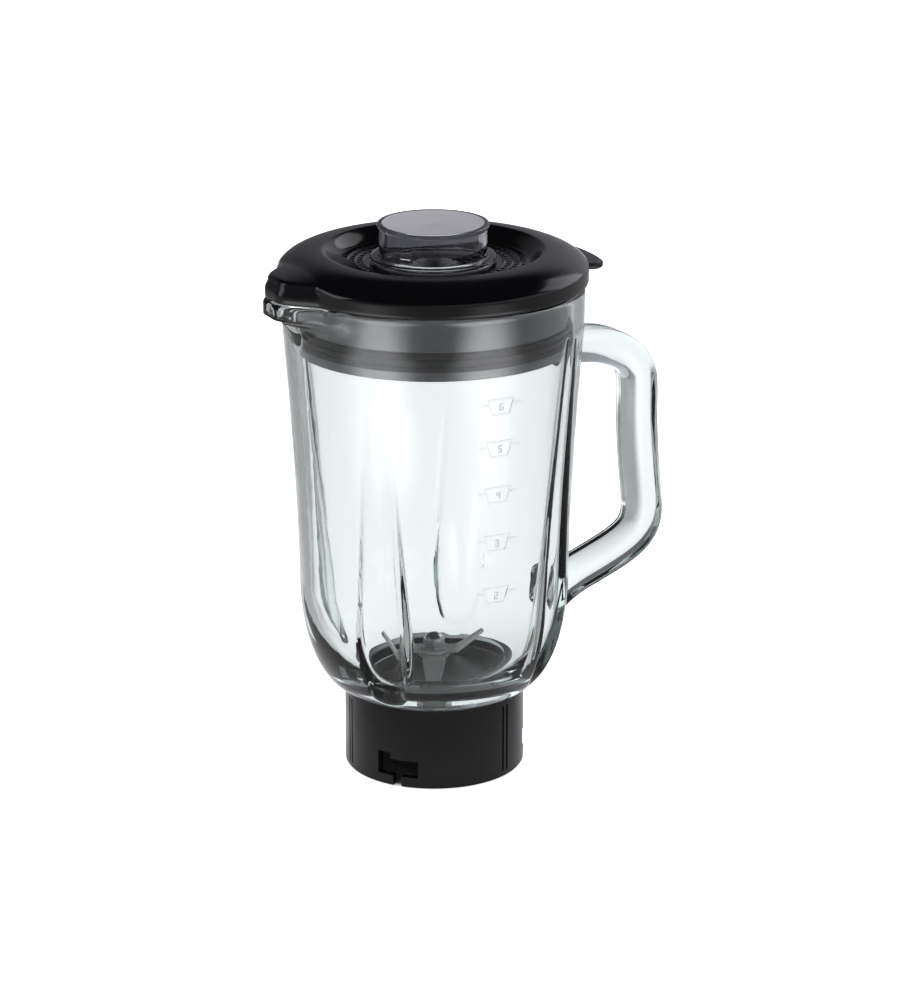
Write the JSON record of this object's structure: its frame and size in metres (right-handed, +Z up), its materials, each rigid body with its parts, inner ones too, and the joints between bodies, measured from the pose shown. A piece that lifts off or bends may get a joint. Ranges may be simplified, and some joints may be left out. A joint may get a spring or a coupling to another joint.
{
  "type": "blender jug assembly",
  "caption": "Fluted glass blender jug with moulded handle and spout, black lid with clear filler cap, and locking collar holding the blade unit.",
  "frame": {"origin": "centre of the locking collar's bottom rim, on the jug axis", "axes": "+Z up along the jug axis; +X from the axis to the handle; -X to the pouring spout; -Y the side that carries the measuring marks"},
  "size_m": [0.1984, 0.14, 0.2566],
  "materials": {
    "glass": "clear pressed glass, faint green",
    "black_gloss": "glossy black",
    "grey_gloss": "glossy dark grey",
    "clear_plastic": "clear",
    "pale_rubber": "matte",
    "black_satin": "satin black",
    "black_matte": "fine moulded texture",
    "seal_rubber": "matte",
    "coupling_rubber": "matte",
    "bronze": "sintered",
    "steel": "turned",
    "spring_steel": "dark sprung",
    "blade_steel": "satin"
  },
  "bodies": {
    "jug": {"glass_jug": "glass"},
    "lid": {"lid_shell": "black_gloss", "lid_plug": "grey_gloss", "lid_seal": "seal_rubber"},
    "cap": {"filler_cap": "clear_plastic", "filler_cap_seal": "pale_rubber"},
    "blade_unit": {"blade_carrier": "black_matte", "jug_gasket": "seal_rubber", "upper_bearing": "bronze", "lower_bearing": "bronze", "shaft_seal": "seal_rubber"},
    "collar": {"locking_collar": "black_satin"},
    "spindle": {"blade_spindle": "steel", "spindle_circlip": "spring_steel", "thrust_washer": "steel", "lower_blade": "blade_steel", "blade_spacer": "steel", "upper_blade": "blade_steel", "lock_washer": "steel", "cap_nut": "steel", "drive_coupling": "coupling_rubber", "coupling_hub": "steel"}
  },
  "joints": [
    {"name": "lid_lift", "type": "slide", "parent": "jug", "child": "lid", "axis": [0, 0, 1], "range_m": [0, 0.06]},
    {"name": "cap_lift", "type": "slide", "parent": "lid", "child": "cap", "axis": [0, 0, 1], "range_m": [0, 0.04]},
    {"name": "blade_unit_drop", "type": "slide", "parent": "jug", "child": "blade_unit", "axis": [0, 0, -1], "range_m": [0, 0.04]},
    {"name": "collar_turn", "type": "hinge", "parent": "blade_unit", "child": "collar", "pos_m": [0, 0, 0], "axis": [0, 0, 1], "range_deg": [0, 1440]},
    {"name": "blade_spin", "type": "hinge", "parent": "blade_unit", "child": "spindle", "pos_m": [0, 0, 0], "axis": [0, 0, 1], "continuous": true}
  ],
  "couplings": [
    {"joint": "blade_unit_drop", "follows": "collar_turn", "m_per_rad": 0.0015915}
  ]
}
